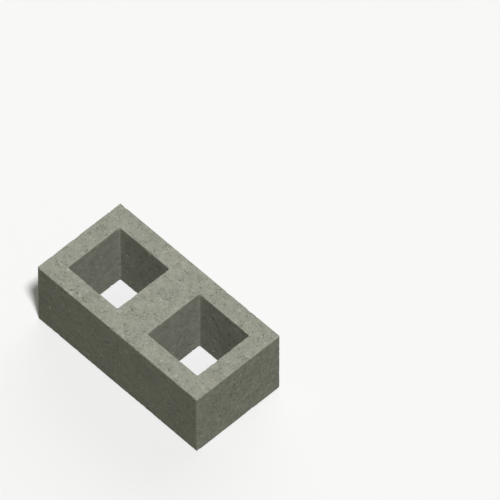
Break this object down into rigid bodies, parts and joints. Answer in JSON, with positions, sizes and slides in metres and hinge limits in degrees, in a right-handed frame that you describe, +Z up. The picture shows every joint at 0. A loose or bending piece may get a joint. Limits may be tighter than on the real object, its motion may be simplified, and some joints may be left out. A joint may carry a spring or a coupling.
{
  "type": "hollow concrete block",
  "caption": "Hollow concrete wall block with flat faces and square cores that run right through from bed face to bed face, laid in mortar to build walls.",
  "frame": {"origin": "middle of the lower bed face, between the two cores", "axes": "+X along the block's length, +Y across its width, +Z up through the cores from the lower bed face to the upper one"},
  "size_m": [0.4, 0.2, 0.15],
  "materials": {
    "concrete": "matt, dry-pressed grey concrete with fine open pores and sand grain"
  },
  "bodies": {
    "root": {"concrete_block": "concrete"}
  },
  "joints": []
}
